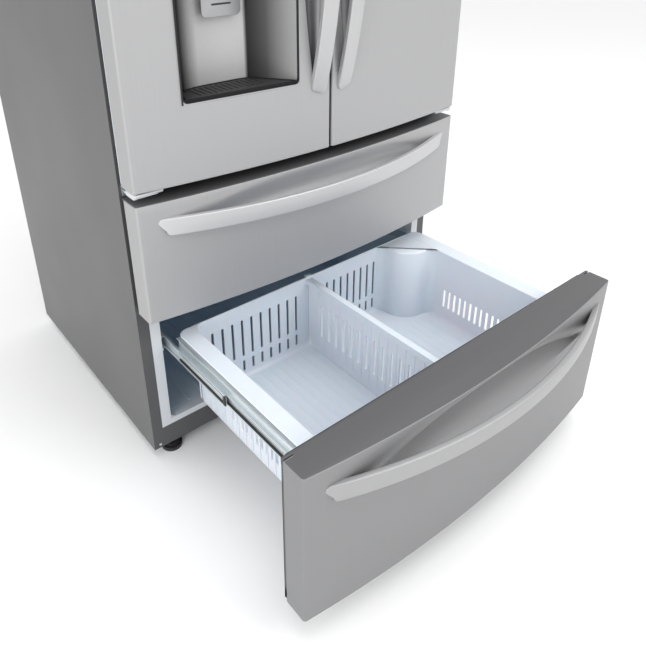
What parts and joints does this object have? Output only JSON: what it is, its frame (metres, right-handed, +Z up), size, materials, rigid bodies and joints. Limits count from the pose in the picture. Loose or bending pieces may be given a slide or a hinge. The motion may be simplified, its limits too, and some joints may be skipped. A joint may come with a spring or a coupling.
{
  "type": "french door refrigerator",
  "caption": "French door refrigerator with bowed fronts, arched strap handles, a door dispenser, an upper drawer and an open lower freezer drawer with a slotted basket.",
  "frame": {"origin": "on the floor, at the middle of the width and of the whole depth with the lower drawer open as at rest", "axes": "+X to the right seen from the front, +Y to the back, +Z up; doors and drawers face -Y"},
  "size_m": [0.908, 1.395, 1.773],
  "materials": {
    "cabinet_paint": "satin grey paint",
    "dark_paint": "satin dark grey paint",
    "stainless": "vertical brushed grain",
    "dark_plastic": "fine grain",
    "black_plastic": "fine grain",
    "liner_plastic": "glossy white",
    "clear_plastic": "milky translucent",
    "dispenser_plastic": "silver grey",
    "zinc_steel": "zinc plated",
    "foam": "cut foam",
    "gasket_rubber": "matte black",
    "shelf_glass": "clear",
    "copper_parts": "brushed"
  },
  "bodies": {
    "cabinet": {"cabinet_shell": "cabinet_paint", "back_panel": "cabinet_paint", "front_frame": "dark_paint", "bottom_rail": "dark_paint", "insulation": "foam", "fridge_liner": "liner_plastic", "drawer_liner": "liner_plastic", "freezer_liner": "liner_plastic", "base_pan": "zinc_steel", "compressor": "black_plastic", "condenser": "black_plastic", "machine_cover": "black_plastic", "water_inlet": "copper_parts", "cord_gland": "black_plastic", "hinge_brackets": "zinc_steel", "hinge_covers": "dark_plastic", "frame_screws": "zinc_steel", "glass_shelves": "shelf_glass", "duct_cover": "liner_plastic", "evaporator_cover": "liner_plastic", "slide_rails": "zinc_steel"},
    "condenser_fan_rotor": {"condenser_fan": "black_plastic"},
    "evaporator_fan_rotor": {"evaporator_fan": "liner_plastic"},
    "left_levelling_foot": {"left_foot": "black_plastic"},
    "right_levelling_foot": {"right_foot": "black_plastic"},
    "roller_axle": {"rear_rollers": "black_plastic"},
    "left_crisper_box": {"left_crisper": "clear_plastic"},
    "right_crisper_box": {"right_crisper": "clear_plastic"},
    "left_door": {"left_door_skin": "stainless", "left_door_liner": "liner_plastic", "left_door_gasket": "gasket_rubber", "left_door_handle": "stainless", "left_door_caps": "dark_plastic", "left_door_bins": "clear_plastic", "dispenser_housing": "dispenser_plastic", "drip_tray": "dark_plastic", "ice_room": "liner_plastic"},
    "paddle": {"dispenser_paddle": "dispenser_plastic"},
    "flip_mullion": {"mullion": "liner_plastic"},
    "right_door": {"right_door_skin": "stainless", "right_door_liner": "liner_plastic", "right_door_gasket": "gasket_rubber", "right_door_handle": "stainless", "right_door_caps": "dark_plastic", "right_door_bins": "clear_plastic"},
    "upper_drawer": {"upper_drawer_skin": "stainless", "upper_drawer_caps": "dark_plastic", "upper_drawer_gasket": "gasket_rubber", "upper_drawer_handle": "stainless", "upper_drawer_basket": "clear_plastic", "upper_drawer_slides": "zinc_steel"},
    "upper_mid_member": {"upper_mid_slides": "zinc_steel"},
    "lower_drawer": {"lower_drawer_skin": "stainless", "lower_drawer_caps": "dark_plastic", "lower_drawer_gasket": "gasket_rubber", "lower_drawer_handle": "stainless", "lower_drawer_basket": "clear_plastic", "lower_drawer_slides": "zinc_steel"},
    "lower_mid_member": {"lower_mid_slides": "zinc_steel"},
    "divider": {"basket_divider": "clear_plastic"}
  },
  "joints": [
    {"name": "left_door_swing", "type": "hinge", "parent": "cabinet", "child": "left_door", "pos_m": [-0.434, -0.0785, 1.235], "axis": [0, 0, -1], "range_deg": [0, 120]},
    {"name": "right_door_swing", "type": "hinge", "parent": "cabinet", "child": "right_door", "pos_m": [0.434, -0.0785, 1.235], "axis": [0, 0, 1], "range_deg": [0, 120]},
    {"name": "mullion_flip", "type": "hinge", "parent": "left_door", "child": "flip_mullion", "pos_m": [-0.02, -0.029, 1.216], "axis": [0, 0, -1], "range_deg": [0, 90]},
    {"name": "paddle_press", "type": "hinge", "parent": "left_door", "child": "paddle", "pos_m": [-0.212, -0.0545, 1.124], "axis": [1, 0, 0], "range_deg": [0, 5], "stiffness_Nm_per_rad": 1.2},
    {"name": "upper_drawer_slide", "type": "slide", "parent": "cabinet", "child": "upper_drawer", "axis": [0, -1, 0], "range_m": [0, 0.45]},
    {"name": "upper_mid_slide", "type": "slide", "parent": "cabinet", "child": "upper_mid_member", "axis": [0, -1, 0], "range_m": [0, 0.225]},
    {"name": "lower_drawer_slide", "type": "slide", "parent": "cabinet", "child": "lower_drawer", "axis": [0, -1, 0], "range_m": [-0.5, 0.03]},
    {"name": "lower_mid_slide", "type": "slide", "parent": "cabinet", "child": "lower_mid_member", "axis": [0, -1, 0], "range_m": [-0.25, 0.015]},
    {"name": "divider_shift", "type": "slide", "parent": "lower_drawer", "child": "divider", "axis": [1, 0, 0], "range_m": [-0.22, 0.2]},
    {"name": "left_crisper_slide", "type": "slide", "parent": "cabinet", "child": "left_crisper_box", "axis": [0, -1, 0], "range_m": [0, 0.05]},
    {"name": "right_crisper_slide", "type": "slide", "parent": "cabinet", "child": "right_crisper_box", "axis": [0, -1, 0], "range_m": [0, 0.05]},
    {"name": "condenser_fan_spin", "type": "hinge", "parent": "cabinet", "child": "condenser_fan_rotor", "pos_m": [-0.052, 0.5555, 0.14], "axis": [1, 0, 0], "continuous": true},
    {"name": "evaporator_fan_spin", "type": "hinge", "parent": "cabinet", "child": "evaporator_fan_rotor", "pos_m": [0, 0.5455, 0.345], "axis": [0, 1, 0], "continuous": true},
    {"name": "left_foot_turn", "type": "hinge", "parent": "cabinet", "child": "left_levelling_foot", "pos_m": [-0.4, -0.0165, 0.02], "axis": [0, 0, 1], "continuous": true},
    {"name": "right_foot_turn", "type": "hinge", "parent": "cabinet", "child": "right_levelling_foot", "pos_m": [0.4, -0.0165, 0.02], "axis": [0, 0, 1], "continuous": true},
    {"name": "rear_rollers_roll", "type": "hinge", "parent": "cabinet", "child": "roller_axle", "pos_m": [0, 0.6515, 0.022], "axis": [1, 0, 0], "continuous": true}
  ],
  "couplings": [
    {"joint": "upper_mid_slide", "follows": "upper_drawer_slide", "ratio": 0.5},
    {"joint": "lower_mid_slide", "follows": "lower_drawer_slide", "ratio": 0.5}
  ]
}
